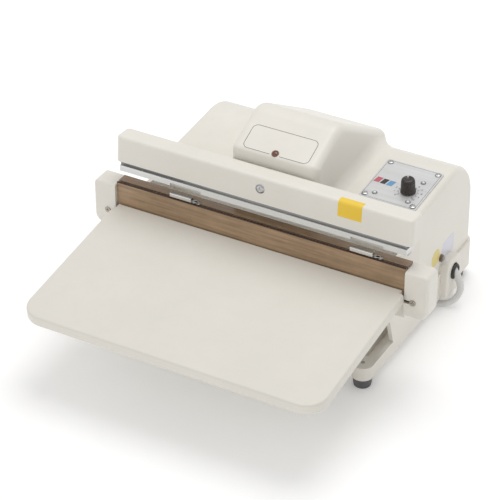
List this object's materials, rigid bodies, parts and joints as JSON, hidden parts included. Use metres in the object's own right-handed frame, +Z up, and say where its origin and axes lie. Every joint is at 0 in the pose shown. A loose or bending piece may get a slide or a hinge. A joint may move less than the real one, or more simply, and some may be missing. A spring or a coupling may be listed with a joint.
{
  "type": "impulse sealer",
  "caption": "Table-top impulse sealer: heated bed between end blocks, press bar on a lever arm, sloping work table in front, cover with hump, timer panel, mains cord.",
  "frame": {"origin": "on the ground under the middle of the sealer, measured without the free cord, its coil and its plug", "axes": "+X along the seal to the operator's right, +Y from the work table to the rear, +Z up"},
  "size_m": [0.3648, 0.4794, 0.2056],
  "materials": {
    "ivory_board": "smooth ivory board, satin, light handling marks",
    "zinc_steel": "zinc plated sheet",
    "ivory_plastic": "moulded ivory plastic, fine grain",
    "aluminium_rail": "extruded aluminium, anodised",
    "brown_cloth": "brown glass cloth with slip coating, fine weave",
    "insulation": "woven insulation tape",
    "heater_alloy": "heating alloy, slightly tinted",
    "chrome": "polished chrome",
    "black_steel": "blackened steel",
    "brass": "machined brass",
    "screw_steel": "zinc plated steel",
    "silicone": "buff silicone rubber",
    "arm_steel": "ivory painted steel",
    "bronze": "sintered bronze",
    "magnet_steel": "bare soft steel",
    "spring_steel": "spring steel wire",
    "coil_tape": "enamelled copper under amber tape",
    "ivory_metal": "ivory powder coat, satin",
    "foot_rubber": "dark grey rubber",
    "lamp_red": "translucent red brown lens",
    "panel_grey": "silver grey printed sheet",
    "lens_clear": "clear small lens",
    "black_knob": "black fluted plastic",
    "board_green": "moulded resin",
    "black_resin": "black resin",
    "red_resin": "red resin",
    "grey_resin": "grey resin",
    "cord_grey": "light grey cord sheath"
  },
  "bodies": {
    "frame": {"work_table": "ivory_board", "table_brackets": "zinc_steel", "end_block_right": "ivory_plastic", "end_block_left": "ivory_plastic", "bed_rail": "aluminium_rail", "bed_front_plate": "brown_cloth", "insulation_strip": "insulation", "heater_ribbon": "heater_alloy", "slip_sheet": "brown_cloth", "sheet_clips": "chrome", "clip_screws": "black_steel", "heater_terminals": "brass", "terminal_screws": "screw_steel", "end_plates": "zinc_steel", "side_screws": "screw_steel", "pivot_shaft": "screw_steel", "pivot_brackets": "zinc_steel", "spring_anchor": "zinc_steel", "return_springs": "spring_steel", "magnet_core": "magnet_steel", "magnet_coil": "coil_tape", "magnet_bracket": "zinc_steel", "transformer_core": "magnet_steel", "transformer_coil": "coil_tape", "base_pan": "ivory_metal", "front_leg_right": "ivory_metal", "side_cheek_right": "ivory_metal", "front_leg_left": "ivory_metal", "side_cheek_left": "ivory_metal", "rubber_feet": "foot_rubber", "foot_screws": "screw_steel", "main_cover": "ivory_plastic", "hump_lamp": "lamp_red", "control_panel": "panel_grey", "panel_screws": "screw_steel", "indicator_lenses": "lens_clear", "timer_pot": "board_green", "timer_board": "board_green", "board_spacers": "brass", "micro_switch": "black_resin", "button_collar": "grey_resin", "reset_breaker": "black_resin", "cord_housing": "ivory_plastic", "cord_grommet": "foot_rubber", "terminal_block": "black_resin", "power_cord": "cord_grey", "cord_coil": "cord_grey", "plug_body": "cord_grey", "plug_pins": "brass"},
    "arm": {"press_bar_cover": "ivory_plastic", "press_rail": "aluminium_rail", "silicone_strip": "silicone", "bar_screw": "screw_steel", "lever_arm": "arm_steel", "pivot_bushes": "bronze", "armature": "magnet_steel"},
    "knob": {"timer_knob": "black_knob", "timer_shaft": "screw_steel"},
    "plunger": {"switch_plunger": "red_resin"},
    "button": {"reset_button": "red_resin"}
  },
  "joints": [
    {"name": "arm_hinge", "type": "hinge", "parent": "frame", "child": "arm", "pos_m": [0, 0.10713, 0.108], "axis": [1, 0, 0], "range_deg": [0, 4.5], "stiffness_Nm_per_rad": 4, "springref_deg": -17.19, "deforming": ["return_springs"]},
    {"name": "knob_turn", "type": "hinge", "parent": "frame", "child": "knob", "pos_m": [0.1106, 0.08839, 0.1428], "axis": [0, -0.0715, 0.9974], "range_deg": [-135, 135]},
    {"name": "plunger_slide", "type": "slide", "parent": "frame", "child": "plunger", "axis": [0, 0, 1], "range_m": [-0.0016, 0]},
    {"name": "button_slide", "type": "slide", "parent": "frame", "child": "button", "axis": [1, 0, 0], "range_m": [-0.0015, 0], "stiffness_N_per_m": 400, "springref_m": 0.001}
  ],
  "couplings": [
    {"joint": "plunger_slide", "follows": "arm_hinge", "m_per_rad": -0.02037}
  ]
}
